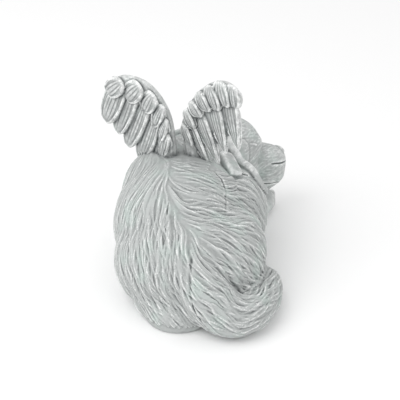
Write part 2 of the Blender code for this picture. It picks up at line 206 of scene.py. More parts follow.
def fused(body, grain, rounds):
    """One closed skin round all the shapes in body, smoothed so that their joints blend."""
    mesh = bpy.data.meshes.new("skin")
    body.to_mesh(mesh)
    body.free()
    thing = bpy.data.objects.new("skin", mesh)
    bpy.context.collection.objects.link(thing)
    skin = thing.modifiers.new("skin", "REMESH")
    skin.mode = "VOXEL"
    skin.voxel_size = grain
    blend = thing.modifiers.new("blend", "SMOOTH")
    blend.factor = 0.5
    blend.iterations = rounds
    graph = bpy.context.evaluated_depsgraph_get()
    result = bpy.data.meshes.new_from_object(thing.evaluated_get(graph))
    bpy.data.objects.remove(thing)
    bpy.data.meshes.remove(mesh)
    return result


body_mesh = fused(form, BODY_GRAIN, BODY_BLEND)
skin_form = bmesh.new()
skin_form.from_mesh(body_mesh)
skin = BVHTree.FromBMesh(skin_form)
skin_form.free()

# The coat
# Long wavy hair, cut into the clay as overlapping locks, each with finer strokes along it. The
# guide hairs say which way it lies: it parts along the spine, falls straight down on the left and
# sweeps round the right flank, and runs along the tail.
GUIDE_HAIRS = [
    ((36, 52, 102), (0.3, 0.8, -0.3)), ((46, 64, 88), (0.3, 0.6, -0.6)),
    ((60, 60, 66), (0.1, 0.5, -0.9)), ((60, -20, 60), (0.1, 0.5, -0.9)),
    ((54, 94, 46), (-0.2, 0.4, -0.9)), ((36, 114, 36), (-0.2, 0.2, -0.9)),
    ((24, 118, 14), (-0.9, 0.1, -0.4)), ((18, 84, 88), (-0.1, 0.8, -0.5)),
    ((10, 118, 56), (-0.1, 0.3, -1.0)), ((-2, 110, 74), (-0.2, 0.6, -0.9)),
    ((-4, 52, 106), (-1.0, -0.1, 0.0)), ((-8, 74, 94), (-1.0, -0.3, 0.0)),
    ((-20, 86, 84), (-1.0, -0.4, -0.1)), ((-34, 30, 90), (-0.7, -0.7, 0.0)),
    ((-46, 66, 76), (-0.8, -0.5, -0.2)), ((-56, 46, 62), (-0.3, -0.4, -0.8)),
    ((-36, 96, 72), (-0.9, 0.0, -0.5)), ((-50, 94, 62), (-0.6, -0.1, -0.8)),
    ((-26, 116, 60), (-1.0, 0.1, -0.4)), ((-34, 130, 44), (-1.0, 0.1, -0.2)),
    ((-52, 2, 76), (-0.4, 0.1, -0.8)),
]
GUIDE_NEARNESS = 5.0
TAIL_HAIR_START = 14
TAIL_HAIR_DEPTH = 2.5
SADDLE_CENTRE = Vector((14, 16, 112))
SADDLE_FADE = 26.0
LEAST_RISE_SHARE = 0.3
CHEST_LINE = -38
THROAT_LINE = -18
THROAT_HEIGHT = 60
NECK_SIDE = -12
NECK_HEIGHT = 66
NECK_BACK = 47.4
NECK_BACK_SLOPE = 0.9
COAT_LOWEST = 7
LOCK = {"spacing": 11.0, "length": 46.0, "half_width": 5.2, "rise": 1.5, "steps": 10,
        "looseness": 0.4, "bare_radius": 34}
LOCK_LEAST_STEPS = 3
HAIR = {"spacing": 5.0, "length": 38.0, "half_width": 2.0, "rise": 0.85, "steps": 14,
        "looseness": 0.12, "bare_radius": 15}
HAIR_LEAST_STEPS = 4
HAIR_LEAN = 0.6
HAIR_DEPTH = 3.2
LENGTH_SPREAD = 0.3
ROOT_WIDTH_SHARE = 0.35
TIP_WIDTH_SHARE = 0.22
ROOT_RISE_SHARE = 0.4
WAVE_DEGREES = 16.0
WAVE_TURNS = 5.0
WAVE_DRIFT = (0.055, 0.06, 0.045)
STROKE_STEP = 1.2
chance = np.random.default_rng(7)
guide_places = np.array([place for place, way in GUIDE_HAIRS], float)
guide_ways = np.array([Vector(way).normalized() for place, way in GUIDE_HAIRS])
tail_points = np.array([point for point, radius in smooth_path(TAIL_ROUTE, ROUTE_STEPS)])
tail_radii = np.array([radius for point, radius in smooth_path(TAIL_ROUTE, ROUTE_STEPS)])


def hair_way(point, normal):
    """The way the hair lies at a point of the skin, along the skin."""
    distance = np.linalg.norm(guide_places - np.array(point), axis=1)
    share = 1.0 / (distance + GUIDE_NEARNESS) ** 3
    lie = Vector((guide_ways * share[:, None]).sum(axis=0) / share.sum())
    gap = np.linalg.norm(tail_points - np.array(point), axis=1) - tail_radii
    number = int(np.argmin(gap))
    if gap[number] < TAIL_HAIR_DEPTH and TAIL_HAIR_START <= number < len(tail_points) - 1:
        lie = Vector(tail_points[number + 1] - tail_points[number - 1])
    lie = lie - lie.dot(normal) * normal
    return lie.normalized()


def has_coat(point, bare_radius):
    """Whether hair grows there: not on the head, neck, paws, under the wings or beneath."""
    x, y, z = point
    saddle = (Vector(point) - SADDLE_CENTRE).length < bare_radius
    front = y < CHEST_LINE or (y < THROAT_LINE and x < 0 and z > THROAT_HEIGHT)
    neck = x < NECK_SIDE and z > NECK_HEIGHT and y < NECK_BACK + NECK_BACK_SLOPE * x
    return not (saddle or front or neck) and z > COAT_LOWEST


def hair_roots(spacing, grows):
    """Places on the skin at least a spacing apart, of those where grows says that hair grows."""
    chosen = []
    for number in chance.permutation(len(body_mesh.vertices)):
        point = np.array(body_mesh.vertices[int(number)].co)
        if not grows(point):
            continue
        if chosen and np.min(np.linalg.norm(np.array(chosen) - point, axis=1)) < spacing:
            continue
        chosen.append(point)
    return chosen


def hair_path(root, kind):
    """One lock or hair along the skin: (place, normal, radius, rise) from its root to its tip."""
    steps, looseness, bare_radius = kind["steps"], kind["looseness"], kind["bare_radius"]
    phase = (WAVE_DRIFT[0] * root[0] + WAVE_DRIFT[1] * root[1] + WAVE_DRIFT[2] * root[2]
             + chance.normal(0, looseness))
    reach = kind["length"] * chance.uniform(1 - LENGTH_SPREAD, 1 + LENGTH_SPREAD)
    stray = chance.normal(0, 2 + 4 * looseness)
    point = Vector(root)
    path = []
    for step in range(steps + 1):
        share = step / steps
        place, normal, face, gap = skin.find_nearest(point)
        if not has_coat(place, bare_radius):
            break
        swell = math.sin(math.pi * min(share * 1.4, 1.0) / 2)
        width = ROOT_WIDTH_SHARE + (1 - ROOT_WIDTH_SHARE) * swell
        if share > 0.5:
            width *= max(2 - 2 * share, 0.0) ** 0.5
        far = (place - SADDLE_CENTRE).length - bare_radius
        rise = kind["rise"] * min(max(far / SADDLE_FADE, LEAST_RISE_SHARE), 1.0)
        rise *= ROOT_RISE_SHARE + (1 - ROOT_RISE_SHARE) * math.sin(math.pi * share ** 0.8)
        path.append((place, normal, kind["half_width"] * max(width, TIP_WIDTH_SHARE), rise))
        lie = hair_way(place, normal)
        angle = WAVE_DEGREES * math.sin(phase + share * WAVE_TURNS) + stray
        point = place + Matrix.Rotation(math.radians(angle), 3, normal) @ lie * (reach / steps)
    return path


lock_tubes = []
for root in hair_roots(LOCK["spacing"], lambda spot: has_coat(spot, LOCK["bare_radius"])):
    path = hair_path(root, LOCK)
    if len(path) > LOCK_LEAST_STEPS:
        lock_tubes.append([(tuple(place - normal * (radius - rise)), radius)
                           for place, normal, radius, rise in path])

strokes = []


def add_stroke(path, lean=0.0, depth=HAIR_DEPTH):
    """Keep a stroke as even steps: place, normal, way, radius, rise, lean, number, run, depth."""
    places = np.array([tuple(place) for place, normal, radius, rise in path])
    if len(places) < 2:
        return
    gaps = np.linalg.norm(np.diff(places, axis=0), axis=1)
    run = np.concatenate([[0.0], np.cumsum(gaps)])
    at = np.linspace(0.0, run[-1], max(int(run[-1] / STROKE_STEP) + 1, 2))
    rows = np.array([(*place, *normal, radius, rise) for place, normal, radius, rise in path])
    even = np.stack([np.interp(at, run, rows[:, column]) for column in range(8)], axis=1)
    way = np.gradient(even[:, :3], axis=0)
    way /= np.linalg.norm(way, axis=1)[:, None] + 1e-9
    count = len(at)
    strokes.append(np.column_stack([even[:, :6], way, even[:, 6:], np.full(count, lean),
                                    np.full(count, len(strokes)), at, np.full(count, depth)]))


for root in hair_roots(HAIR["spacing"], lambda spot: has_coat(spot, HAIR["bare_radius"])):
    path = hair_path(root, HAIR)
    if len(path) > HAIR_LEAST_STEPS:
        add_stroke(path, float(chance.choice([-HAIR_LEAN, HAIR_LEAN])))

# The wings
# Upright on the withers, in the same casting. Long feathers hang from the front edge and short
# ones cover their roots. u runs outward from the wing's root, v upward, w out of its back face.
FEATHER_HALF_THICKNESS = 3.0
COVERT_HALF_THICKNESS = 3.4
COVERT_LIFT = 6.0
COVERT_TILT_SHARE = 0.8
COVERT_BARBS = 4
FEATHER_STAGGER = 0.8
TIP_LIFT_SHARE = 0.6
WEB_LIFT = -0.5
BLADE_BLUNTNESS = 0.8
RIM = {"radius": 1.6, "rise": 0.9, "begin": -0.6, "end": 0.97, "aside": (0.86, 0.8)}
BARB = {"radius": 0.9, "rise": -0.32, "begin": -0.8, "end": 0.9, "aside": 0.78}
BARB_SHORTENING = 0.5
BARB_STRAY = 0.04
LINE_DEPTH = 1.1
LINE_STEPS = 8
details = bmesh.new()


def add_blade(body, low, high, across, half_width, half_thickness, taper):
    """Add a flat blade from low to high, narrowed toward high, and return its lay and its face."""
    along = high - low
    half_length = along.length / 2
    along.normalize()
    across = (across - across.dot(along) * along).normalized()
    face = along.cross(across)
    axes = Matrix((along * half_length, across * half_width, face * half_thickness)).transposed()
    lay = Matrix.Translation((low + high) / 2) @ axes.to_4x4()

    def shape(point):
        breadth = math.copysign(abs(point.x) ** BLADE_BLUNTNESS, point.x)
        return lay @ Vector((point.z, breadth * (1 - taper * (1 + point.z) / 2), point.y))

    shaped_ball(body, shape)
    return lay, face


class Wing:
    def __init__(self, root, outward, upward):
        self.root = Vector(root)
        self.out = Vector(outward).normalized()
        upward = Vector(upward)
        self.up = (upward - upward.dot(self.out) * self.out).normalized()
        self.face = self.out.cross(self.up)
        if self.face.y < 0:
            self.face.negate()

    def place(self, u, v, w=0.0):
        return self.root + self.out * u + self.up * v + self.face * w

    def feather(self, start, tip, half_width, half_thickness, lift, tilt, taper=0.0, barbs=0):
        """A blade from start to tip; where it has barbs, they are cut on both faces inside rims."""
        low = self.place(*start, lift)
        high = self.place(*tip, lift * TIP_LIFT_SHARE)
        along = (high - low).normalized()
        across = Matrix.Rotation(math.radians(tilt), 3, along) @ self.face.cross(along)
        lay, out = add_blade(details, low, high, across, half_width, half_thickness, taper)
        if not barbs:
            return

        def line(begin, end, aside_begin, aside_end, kind):
            """A line on both faces, between two shares of the length, aside by shares of the rim."""
            for face in (-1, 1):
                path = []
                for step in range(LINE_STEPS + 1):
                    t = step / LINE_STEPS
                    a = begin + (end - begin) * t
                    outline = (1 - a * a) ** 0.4
                    b = (aside_begin + (aside_end - aside_begin) * t) * outline
                    c = math.sqrt(max(1 - a * a - abs(b) ** 2.5, 0.0)) * face
                    b *= 1 - taper * (1 + a) / 2
                    fade = min(1.0, 0.4 + 3 * min(t, 1 - t))
                    path.append((lay @ Vector((a, b, c)), out * face, kind["radius"],
                                 kind["rise"] * fade))
                add_stroke(path, depth=LINE_DEPTH)

        for side in (-1, 1):
            low_aside, high_aside = [share * side for share in RIM["aside"]]
            line(RIM["begin"], RIM["end"], low_aside, high_aside, RIM)
        for number in range(barbs):
            aside = BARB["aside"] * (2 * (number + 0.5) / barbs - 1) + chance.normal(0, BARB_STRAY)
            end = BARB["end"] - chance.uniform(0, BARB_SHORTENING)
            line(BARB["begin"], end, 0.8 * aside, aside, BARB)

    def build(self, edge, web, feathers, coverts, taper, tilt, barbs):
        path = [(*self.place(u, v), radius) for u, v, radius in edge]
        add_tubes(details, [smooth_path(path, ROUTE_STEPS)], 4)
        low, high, half_width = web
        self.feather(low, high, half_width, FEATHER_HALF_THICKNESS, WEB_LIFT, 0)
        for number, (start, tip, half_width) in enumerate(feathers):
            self.feather(start, tip, half_width, FEATHER_HALF_THICKNESS, FEATHER_STAGGER * number,
                         tilt, taper, barbs)
        for start, tip, half_width in coverts:
            self.feather(start, tip, half_width, COVERT_HALF_THICKNESS, COVERT_LIFT,
                         COVERT_TILT_SHARE * tilt, barbs=COVERT_BARBS)


left_wing = Wing((25, 14, 112), (0.93, -0.36, 0), (0.10, 0.18, 0.98))
left_wing.build(
    edge=[(2, -14, 9), (0, 10, 8), (0, 34, 7), (7, 52, 6.5), (18, 62, 6), (34, 64, 5), (48, 56, 4)],
    web=((0, 2), (46, 52), 19),
    feathers=[((38, 62), (63, 13), 13), ((26, 58), (52, 4), 12), ((15, 50), (43, -8), 12),
              ((6, 38), (31, -19), 12), ((0, 20), (16, -24), 11)],
    coverts=[((33, 67), (52, 49), 9), ((15, 68), (33, 48), 10), ((3, 62), (16, 40), 9),
             ((-5, 52), (8, 26), 6), ((-7, 38), (5, 10), 5), ((-6, 22), (4, -6), 5)],
    taper=0.15, tilt=18, barbs=5)
right_wing = Wing((8, 6, 112), (-0.90, 0.43, 0), (-0.05, 0.20, 0.98))
right_wing.build(
    edge=[(6, -16, 9), (4, 4, 8), (3, 22, 7), (10, 40, 6.5), (20, 56, 6), (32, 68, 5.5),
          (44, 73, 5), (54, 70, 4)],
    web=((4, 8), (52, 58), 18),
    feathers=[((46, 66), (52, 12), 13), ((30, 58), (39, 4), 12), ((14, 44), (31, -9), 11),
              ((4, 32), (22, -16), 8), ((1, 18), (9, -6), 5)],
    coverts=[((55, 81), (54, 58), 9), ((43, 82), (45, 56), 9), ((32, 75), (36, 50), 8),
             ((21, 66), (27, 46), 7), ((12, 54), (18, 38), 6), ((5, 44), (10, 24), 5),
             ((1, 28), (6, 4), 5)],
    taper=0.7, tilt=12, barbs=4)

# Nose, ears, toes, collar band and shoulder flap
# Small forms set onto the blended head, neck and paws, with sharper joints than the masses have.
NOSE_RADII = (4, 9, 8)
EAR_ROOT = (-6, 23, 19)
EAR_TIP = (0, 31, -24)
EAR_HALF_WIDTH = 16
EAR_HALF_THICKNESS = 5
EAR_TAPER = 0.6
TOE_SPREAD = 7
TOE_REACH = 12
TOE_RADII = (4, 8, 6)
COLLAR_ROUTE = [(22, -58, 32, 3), (36, -50, 48, 3), (42, -40, 68, 3), (38, -32, 88, 3),
                (26, -30, 104, 3), (6, -36, 108, 3), (-12, -36, 102, 4), (-21, -32, 98, 4.5),
                (-28, -26, 94, 4.5), (-36, -15, 89, 4), (-44, -5, 84, 3.5), (-51, 2, 77, 3),
                (-57, -3, 69, 2.6), (-56, -20, 56, 2.6), (-48, -36, 44, 2.6)]
COLLAR_SINK = 1.0
FLAP_CENTRE = (-27, 0, 91.5)
FLAP_RADII = (15, 7, 5.5)
FLAP_ALONG = Vector((-11, 20, -6)).normalized()
FLAP_FACING = Vector((-0.5, 0.1, 0.8))
FLAP_SQUARENESS = 0.35
flap_face = (FLAP_FACING - FLAP_FACING.dot(FLAP_ALONG) * FLAP_ALONG).normalized()
flap_axes = Matrix((FLAP_ALONG, flap_face.cross(FLAP_ALONG), flap_face)).transposed().to_4x4()
laid_ball(details, Matrix.Translation(FLAP_CENTRE) @ flap_axes, FLAP_RADII, FLAP_SQUARENESS)
head_ball(details, (62, MUZZLE_ASIDE, -5), NOSE_RADII, squareness=0.8)
for side in (-1, 1):
    root, tip = [in_head(f, s * side, u) for f, s, u in (EAR_ROOT, EAR_TIP)]
    add_blade(details, root, tip, HEAD_AXES @ Vector((1, 0, 0)), EAR_HALF_WIDTH,
              EAR_HALF_THICKNESS, EAR_TAPER)
for x, y, z in PAWS:
    for aside in (-TOE_SPREAD, 0, TOE_SPREAD):
        add_ball(details, (x + aside, y - TOE_REACH, z - 1), TOE_RADII)
collar = []
for place, radius in smooth_path(COLLAR_ROUTE, ROUTE_STEPS):
    spot, normal, face, gap = skin.find_nearest(Vector(place))
    collar.append((tuple(spot + normal * (radius - COLLAR_SINK)), radius))
add_tubes(details, [collar], 4)

# The short fur of the head
# Cut into the clay as short shallow strokes, from the muzzle back over the head, the neck and the
# chest. Each lies on the skin and has its crest a little to one side.
FUR = {"spacing": 3.4, "length": 8.0, "half_width": 1.4, "rise": 0.2, "steps": 4}
FUR_BACK = -46
FUR_LOWEST = 30
FUR_LEAN = 0.5
FUR_NARROWING = 0.12
FUR_DROOP = 0.4
FUR_STRAY = {"aside": 0.35, "upward": 0.3}
for root in hair_roots(FUR["spacing"], lambda spot: spot[1] <= FUR_BACK and spot[2] >= FUR_LOWEST):
    point = Vector(root)
    lie = HEAD_AXES @ Vector((1.0, chance.normal(0, FUR_STRAY["aside"]),
                              chance.normal(0, FUR_STRAY["upward"]) - FUR_DROOP))
    path = []
    for step in range(FUR["steps"] + 1):
        spot, normal, face, gap = skin.find_nearest(point)
        path.append((spot, normal, FUR["half_width"] * (1 - FUR_NARROWING * step),
                     FUR["rise"] * math.sin(math.pi * (step + 1) / (FUR["steps"] + 2))))
        along_skin = (lie - lie.dot(normal) * normal).normalized()
        point = spot + along_skin * FUR["length"] / FUR["steps"]
    add_stroke(path, float(chance.choice([-FUR_LEAN, FUR_LEAN])))

# Lines drawn in the clay with a wire tool
# The shut eyes, mouth and nostrils, the crease behind the shoulder, the fold beside the tail and
# the gaps between the toes. A line with a rise over nothing is a small raised fold.
LINES = [
    ([(-16, 33, 100), (-20, 36, 98), (-24, 38, 97), (-26, 42, 95), (-28, 47, 92)], 1.8, -1.4),
    ([(-28, 47, 92), (-29, 55, 88), (-31, 66, 82)], 2.2, -0.5),
    ([(-11, 114, 69), (-10, 118, 64), (-10, 124, 56), (-11, 130, 46), (-13, 134, 33)], 2.6, -1.0),
    ([(-13, 134, 36), (-14, 135, 31), (-19, 136, 23), (-25, 137, 17)], 1.6, -1.6),
    ([(-38, 108, 49), (-42, 110, 43), (-48, 109, 37), (-54, 110, 33), (-59, 110, 32),
      (-64, 106, 31), (-66, 92, 31), (-68, 67, 28)], 2.4, -1.0),
    ([(-20, -12, 97), (-25, -10, 93), (-31, -3, 89), (-36, 3, 87), (-42, 4, 84)], 2.6, -3.2),
]
TOE_GAP = {"aside": 3.5, "radius": 1.3, "rise": -1.5}
HEAD_LINES = [
    ([(44, 19, -8), (50, 18, -8), (56, 17, -8), (62, 12, -8)], 1.2, -1.5),
    ([(34, 18, -30), (42, 18, -29), (50, 17, -27), (58, 13, -24)], 1.3, -1.6),
    ([(66, 7, 0), (65, 10, 0), (63, 12, 1)], 1.3, -1.4),
    ([(7, 21, 13), (12, 21, 13), (17, 21, 12.5)], 1.6, 0.7),
]


def draw_line(points, width, rise):
    """A line pressed onto the skin, a third as deep at its ends."""
    path = []
    smooth = smooth_path([(*point, width) for point in points], 5)
    for number, (place, radius) in enumerate(smooth):
        spot, normal, face, gap = skin.find_nearest(Vector(place))
        share = number / (len(smooth) - 1)
        path.append((spot, normal, radius, rise * min(1.0, 0.3 + 3 * min(share, 1 - share))))
    add_stroke(path)


for points, width, rise in LINES:
    draw_line(points, width, rise)
for points, width, rise in HEAD_LINES:
    for side in (-1, 1):
        draw_line([in_head(f, s * side + FACE_ASIDE * (1 - side), u) for f, s, u in points],
                  width, rise)
for x, y, z in PAWS:
    for aside in (-TOE_GAP["aside"], TOE_GAP["aside"]):
        draw_line([(x + aside, y - 6, 20), (x + aside, y - 14, 17), (x + aside, y - 19, 9)],
                  TOE_GAP["radius"], TOE_GAP["rise"])

# The casting
# Everything joined in one closed skin, cut flat at the ground, with the finer strokes raised on it
# and the grooves cut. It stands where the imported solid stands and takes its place.
MM = 0.001
CASTING_GRAIN = 0.85
CASTING_FACES = 240000
STROKE_REACH = 4.6
STREAK_SHIFT = {"across": 7.3, "run": 11.7}
WING_FOOT = 108
NEAR_ROUNDS = 8
WIDE_ROUNDS = 80
BORDER_ROUNDS = 12
FACING_ROUNDS = 3
add_tubes(details, lock_tubes, 2)
details.from_mesh(body_mesh)
casting_mesh = fused(details, CASTING_GRAIN, 1)


def coordinates(mesh):
    places = np.empty(len(mesh.vertices) * 3)
    mesh.vertices.foreach_get("co", places)
    return places.reshape(-1, 3)


def edge_ends(mesh):
    ends = np.empty(len(mesh.edges) * 2, int)
    mesh.edges.foreach_get("vertices", ends)
    return ends.reshape(-1, 2)


def evened(values, edges, rounds):
    """Values of the vertices, averaged with their neighbours' a number of times."""
    count = len(values)
    meetings = np.bincount(edges.ravel(), minlength=count)[:, None]
    for turn in range(rounds):
        total = np.stack([np.bincount(edges[:, 0], values[edges[:, 1], axis], count)
                          + np.bincount(edges[:, 1], values[edges[:, 0], axis], count)
                          for axis in range(values.shape[1])], axis=1)
        values = (values + total / np.maximum(meetings, 1)) / 2
    return values


def pairs_within(points, centres, reach):
    """Numbers of the points and of the centres that lie within reach of each other."""
    low = points.min(axis=0) - 2 * reach
    span = np.array([1, 1000, 1000000])
    cells = ((points - low) // reach).astype(int) @ span
    order = np.argsort(cells)
    cells = cells[order]
    homes = ((centres - low) // reach).astype(int)
    found = []
    for shift in itertools.product((-1, 0, 1), repeat=3):
        wanted = (homes + shift) @ span
        start = np.searchsorted(cells, wanted, "left")
        count = np.searchsorted(cells, wanted, "right") - start
        centre = np.repeat(np.arange(len(centres)), count)
        within = np.arange(count.sum()) - np.repeat(np.cumsum(count) - count, count)
        point = order[np.repeat(start, count) + within]
        near = ((points[point] - centres[centre]) ** 2).sum(axis=1) < reach ** 2
        found.append((point[near], centre[near]))
    return [np.concatenate(part) for part in zip(*found)]


def stroke_relief(places, steps):
    """Height of the strokes at each place; crest, aside and run of the topmost one there."""
    point, step = pairs_within(places, steps[:, :3], STROKE_REACH)
    offset = places[point] - steps[step, :3]
    normal, way = steps[step, 3:6], steps[step, 6:9]
    radius, rise, lean = steps[step, 9], steps[step, 10], steps[step, 11]
    along = (offset * way).sum(axis=1)
    aside = (offset * np.cross(normal, way)).sum(axis=1) / radius
    depth = (offset * normal).sum(axis=1)
    share = np.minimum((1 + aside) / (1 + lean), (1 - aside) / (1 - lean))
    share[(np.abs(along) > STROKE_STEP) | (np.abs(depth) > steps[step, 14])] = 0
    share = np.clip(share, 0, 1)
    height = rise * np.where(lean == 0, 0.5 - 0.5 * np.cos(share * np.pi), share)
    cuts = np.zeros(len(places))
    np.minimum.at(cuts, point, height)
    order = np.argsort(height)
    point, step, height, share, aside = [v[order] for v in (point, step, height, share, aside)]
    tall, crest = np.zeros(len(places)), np.zeros(len(places))
    across, run = np.zeros(len(places)), np.zeros(len(places))
    tall[point] = np.maximum(height, 0)
    crest[point] = share * (height > 0)
    across[point] = aside * radius[order] + STREAK_SHIFT["across"] * steps[step, 12]
    run[point] = steps[step, 13] + STREAK_SHIFT["run"] * steps[step, 12]
    tall += cuts
    return tall, crest, across, run


places = coordinates(casting_mesh)
ends = edge_ends(casting_mesh)
facing = np.empty(len(places) * 3)
casting_mesh.vertices.foreach_get("normal", facing)
facing = evened(facing.reshape(-1, 3), ends, FACING_ROUNDS)
facing /= np.linalg.norm(facing, axis=1)[:, None]
tall, crest, across, run = stroke_relief(places, np.concatenate(strokes))
places = places + facing * tall[:, None]
casting_mesh.vertices.foreach_set("co", places.ravel())
casting_mesh.update()

# Colour measures on the skin: how far each point stands over its near and its wider surroundings,
# which is where a brush leaves white, where a wash stays dark and where shade is painted in hollows
relief = ((places - evened(places, ends, NEAR_ROUNDS)) * facing).sum(axis=1)
hollow = ((places - evened(places, ends, WIDE_ROUNDS)) * facing).sum(axis=1)
x, y, z = places.T
feathered = z > WING_FOOT
neck = (x < NECK_SIDE) & (z > NECK_HEIGHT) & (y < NECK_BACK + NECK_BACK_SLOPE * x)
bald = feathered | (y < CHEST_LINE) | neck
borders = np.stack([feathered, bald], axis=1).astype(float)
feathered, bald = evened(borders, ends, BORDER_ROUNDS).T
for name, values in (("relief", relief), ("hollow", hollow), ("crest", crest), ("across", across),
                     ("along", run), ("feathered", feathered), ("bald", bald)):
    casting_mesh.attributes.new(name, "FLOAT", "POINT").data.foreach_set("value", values)

casting = bpy.data.objects.new("winged_dog_casting", casting_mesh)
bpy.context.collection.objects.link(casting)
fewer = casting.modifiers.new("fewer", "DECIMATE")
fewer.ratio = CASTING_FACES / (2.0 * len(casting_mesh.polygons) * np.mean(places[:, 2] > 0))
graph = bpy.context.evaluated_depsgraph_get()
light_mesh = bpy.data.meshes.new_from_object(casting.evaluated_get(graph))
casting.modifiers.clear()

trim = bmesh.new()
trim.from_mesh(light_mesh)
bmesh.ops.bisect_plane(trim, geom=trim.verts[:] + trim.edges[:] + trim.faces[:], dist=0.01,
                       plane_co=(0, 0, 0), plane_no=(0, 0, 1), clear_inner=True)
rim = [edge for edge in trim.edges if edge.is_boundary]
bmesh.ops.triangle_fill(trim, edges=rim, use_beauty=True, normal=(0, 0, -1))
bmesh.ops.recalc_face_normals(trim, faces=trim.faces)
trim.to_mesh(light_mesh)
trim.free()
casting.data = light_mesh
places = coordinates(light_mesh)
low, high = places.min(axis=0), places.max(axis=0)
node_low, node_high = [np.array(corner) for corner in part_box("winged_dog")]
middle = (node_low + node_high) / 2 / MM - (low + high) / 2
light_mesh.transform(Matrix.Scale(MM, 4) @ Matrix.Translation((middle[0], middle[1], 0)))
for face in light_mesh.polygons:
    face.use_smooth = True

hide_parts("winged_dog")
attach(casting, "root")

# Cast stone, moulded, washed dark and dry-brushed
# A matt fine-grained mix of cement and stone dust. The wash leaves the grooves dark grey, the dry
# brush leaves broken white lines on the raised hair, a faint green cast shows in patches, and
# painted shade darkens the deep hollows where the parts meet.
STONE_HEX = "BBBEBD"
FEATHER_HEX = "A9ABAB"
WASH_HEX = "4A4E4F"
# Painted shade: the near-black laid into the deep hollows in place of the shadow in them
PAINTED_SHADE_HEX = "2E302F"
BRUSH_HEX = "F4F5F4"
GREEN_HEX = "BFCDC7"
PATCH_MM = 22
BRUSHING_MM = 5
GRIT_MM = 0.5
GRAIN_HEIGHT_MM = 0.4
STREAKS_PER_MM = {"across": 1.2, "along": 0.10}
# Ranges: from and to of a measure, then the share that each gives. Relief and hollow are in mm.
GREEN_PATCHES = (0.50, 0.72, 0.0, 0.6)
WASH_RELIEF = (0.05, -0.40, 0.0, 0.85)
FEATHER_WASH_RELIEF = (0.08, -0.20, 0.0, 0.2)
# Painted shade: how far a point sits below its wider surroundings before its hollow is darkened
PAINTED_SHADE_HOLLOW = (-1.5, -5.0, 0.0, 0.9)
CREST_RELIEF = (0.0, 0.25)
RIDGE_CREST = (0.45, 0.95)
EDGE_RELIEF = (0.22, 0.55)
BALD_EDGE_RELIEF = (0.0, 0.2, 0.0, 0.9)
STREAK_BREAKS = (0.35, 0.65, -0.5, 0.5)
BRUSHING_BREAKS = (0.3, 0.7, -0.4, 0.4)
BRUSH_LOAD = 0.6
BRUSH_COVER = (0.0, 0.9, 0.0, 0.95)
BALD_MOTTLE = (0.3, 0.7, -0.13, 0.16)
GRIT_FLECKS = (0.3, 0.7, 0.92, 1.06)


def linear(code):
    """A hex colour in sRGB, as the linear values that a shader takes."""
    shares = [int(code[start:start + 2], 16) / 255 for start in (0, 2, 4)]
    return [s / 12.92 if s <= 0.04045 else ((s + 0.055) / 1.055) ** 2.4 for s in shares] + [1.0]


stone = bpy.data.materials.new("cast_stone_dry_brushed")
stone.use_nodes = True
tree = stone.node_tree
shader = tree.nodes["Principled BSDF"]
shader.inputs["Roughness"].default_value = 0.88
shader.inputs["Metallic"].default_value = 0.0
shader.inputs["IOR"].default_value = 1.5
shader.inputs["Specular IOR Level"].default_value = 0.25


def add_node(kind, settings, links):
    """Add a node: settings are its own values or its sockets', links are sockets that feed it."""
    node = tree.nodes.new(kind)
    for name, value in settings.items():
        if isinstance(name, str) and hasattr(node, name):
            setattr(node, name, value)
        else:
            node.inputs[name].default_value = value
    for name, source in links.items():
        tree.links.new(source, node.inputs[name])
    return node


def measure(name):
    return add_node("ShaderNodeAttribute", {"attribute_name": name}, {}).outputs["Fac"]


def ranged(source, low, high, to_low=0.0, to_high=1.0):
    settings = {"From Min": low, "From Max": high, "To Min": to_low, "To Max": to_high}
    return add_node("ShaderNodeMapRange", settings, {"Value": source}).outputs["Result"]


def mixed(share, first, second):
    """Mix of two colours, each a hex code or a socket, by a share."""
    node = add_node("ShaderNodeMix", {"data_type": "RGBA"}, {0: share})
    for socket, colour in ((6, first), (7, second)):
        if isinstance(colour, str):
            node.inputs[socket].default_value = linear(colour)
        else:
            tree.links.new(colour, node.inputs[socket])
    return node.outputs[2]


def calculated(operation, first, second):
    node = add_node("ShaderNodeMath", {"operation": operation}, {})
    for socket, value in ((0, first), (1, second)):
        if isinstance(value, float):
            node.inputs[socket].default_value = value
        else:
            tree.links.new(value, node.inputs[socket])
    return node.outputs[0]


position = add_node("ShaderNodeTexCoord", {}, {}).outputs["Object"]
streak_place = add_node("ShaderNodeCombineXYZ", {},
                        {"X": calculated("MULTIPLY", measure("across"), STREAKS_PER_MM["across"]),
                         "Y": calculated("MULTIPLY", measure("along"), STREAKS_PER_MM["along"])})
streak = add_node("ShaderNodeTexNoise", {"Scale": 1.0, "Detail": 2.0, "Roughness": 0.6},
                  {"Vector": streak_place.outputs[0]}).outputs["Fac"]
patch = add_node("ShaderNodeTexNoise", {"Scale": 1 / (PATCH_MM * MM), "Detail": 2.0},
                 {"Vector": position}).outputs["Fac"]
brushing = add_node("ShaderNodeTexNoise",
                    {"Scale": 1 / (BRUSHING_MM * MM), "Detail": 4.0, "Roughness": 0.65},
                    {"Vector": position}).outputs["Fac"]
grit = add_node("ShaderNodeTexNoise", {"Scale": 1 / (GRIT_MM * MM), "Detail": 2.0},
                {"Vector": position}).outputs["Fac"]

